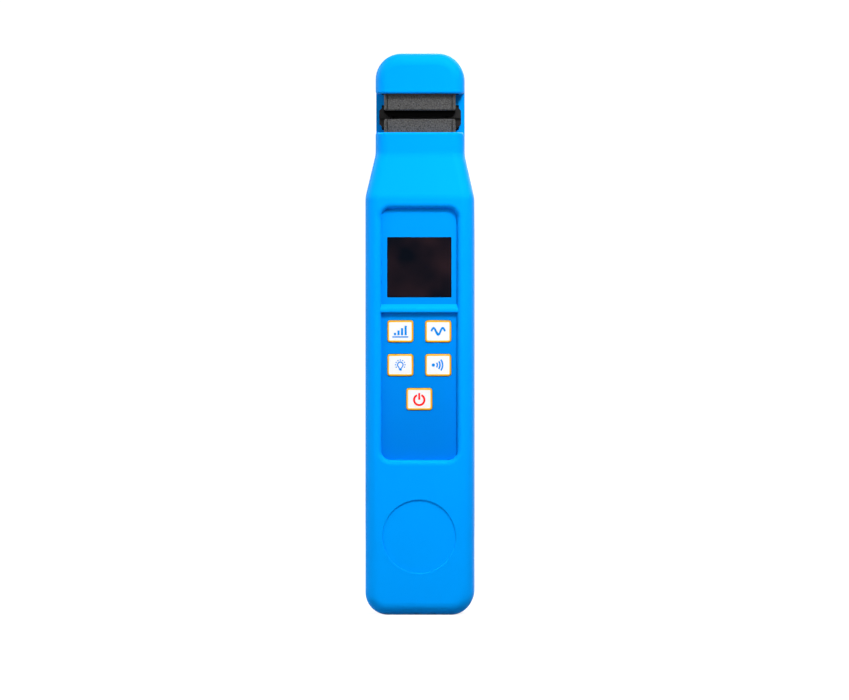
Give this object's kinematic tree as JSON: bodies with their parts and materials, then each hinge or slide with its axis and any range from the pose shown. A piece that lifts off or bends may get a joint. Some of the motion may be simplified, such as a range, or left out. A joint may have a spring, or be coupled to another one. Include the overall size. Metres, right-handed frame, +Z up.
{
  "type": "optical fibre identifier",
  "caption": "Handheld tester that clips over an optical fibre: a spring-returned jaw bends the fibre against photodetectors, with display, keys, laser port and rubber boot.",
  "frame": {"origin": "centre of the footprint at the lower end, where the tool stands on a table", "axes": "+Z up the handle to the head with the jaws, -Y out of the display and the keys, +X to the right of someone who faces the display"},
  "size_m": [0.0394, 0.032, 0.205],
  "materials": {
    "boot_rubber": "satin moulded silicone rubber",
    "panel_film": "printed film, satin",
    "display_window": "clear acrylic over a dark display",
    "foam": "soft foam",
    "display_panel": "switched-off display",
    "case_plastic": "fine textured moulding",
    "key_plastic": "white keycap with an orange border",
    "circuit_board": "solder mask",
    "flat_cable": "polyimide film",
    "jaw_metal": "dark grey, bead blasted",
    "guide_plastic": "black moulding",
    "black_rubber": "matt, deep black",
    "steel": "plain",
    "cell_jacket": "plain jacket",
    "port_metal": "nickel plated",
    "sleeve_ceramic": "polished"
  },
  "bodies": {
    "case": {"rubber_boot": "boot_rubber", "keypad_overlay": "panel_film", "display_lens": "display_window", "display_gasket": "foam", "display_module": "display_panel", "front_housing": "case_plastic", "rear_housing": "case_plastic", "housing_screws": "steel", "main_board": "circuit_board", "key_switches": "case_plastic", "board_chips": "case_plastic", "buzzer": "case_plastic", "board_screws": "steel", "upper_jaw": "jaw_metal", "anvil": "black_rubber", "upper_jaw_screws": "steel", "left_fiber_guide": "guide_plastic", "right_fiber_guide": "guide_plastic", "left_detector": "steel", "right_detector": "steel", "detector_board": "circuit_board", "sensor_ribbon": "flat_cable", "guide_pins": "steel", "return_springs": "steel", "battery_cell_left": "cell_jacket", "battery_cell_right": "cell_jacket", "battery_contacts": "steel", "battery_springs": "steel", "laser_port": "port_metal", "ceramic_sleeve": "sleeve_ceramic", "laser_module": "port_metal"},
    "clamp": {"lower_jaw": "jaw_metal", "lower_jaw_screws": "steel", "clamp_slider": "case_plastic", "trigger": "guide_plastic", "trigger_screws": "steel"},
    "unit_key": {"unit_key": "key_plastic"},
    "wavelength_key": {"wavelength_key": "key_plastic"},
    "backlight_key": {"backlight_key": "key_plastic"},
    "locator_key": {"locator_key": "key_plastic"},
    "power_key": {"power_key": "key_plastic"},
    "battery_door": {"battery_door": "case_plastic"},
    "port_cover": {"port_cover": "boot_rubber"}
  },
  "joints": [
    {"name": "clamp_slide", "type": "slide", "parent": "case", "child": "clamp", "axis": [0, 0, 1], "range_m": [0, 0.0025], "stiffness_N_per_m": 800, "springref_m": -0.0015, "deforming": ["return_springs"]},
    {"name": "unit_key_press", "type": "slide", "parent": "case", "child": "unit_key", "axis": [0, 1, 0], "range_m": [0, 0.0005], "stiffness_N_per_m": 600, "springref_m": -0.0005},
    {"name": "wavelength_key_press", "type": "slide", "parent": "case", "child": "wavelength_key", "axis": [0, 1, 0], "range_m": [0, 0.0005], "stiffness_N_per_m": 600, "springref_m": -0.0005},
    {"name": "backlight_key_press", "type": "slide", "parent": "case", "child": "backlight_key", "axis": [0, 1, 0], "range_m": [0, 0.0005], "stiffness_N_per_m": 600, "springref_m": -0.0005},
    {"name": "locator_key_press", "type": "slide", "parent": "case", "child": "locator_key", "axis": [0, 1, 0], "range_m": [0, 0.0005], "stiffness_N_per_m": 600, "springref_m": -0.0005},
    {"name": "power_key_press", "type": "slide", "parent": "case", "child": "power_key", "axis": [0, 1, 0], "range_m": [0, 0.0005], "stiffness_N_per_m": 600, "springref_m": -0.0005},
    {"name": "battery_door_lift", "type": "slide", "parent": "case", "child": "battery_door", "axis": [0, 1, 0], "range_m": [0, 0.012]},
    {"name": "port_cover_hinge", "type": "hinge", "parent": "case", "child": "port_cover", "pos_m": [0, 0.0035, 0.0011], "axis": [1, 0, 0], "range_deg": [0, 100]}
  ]
}
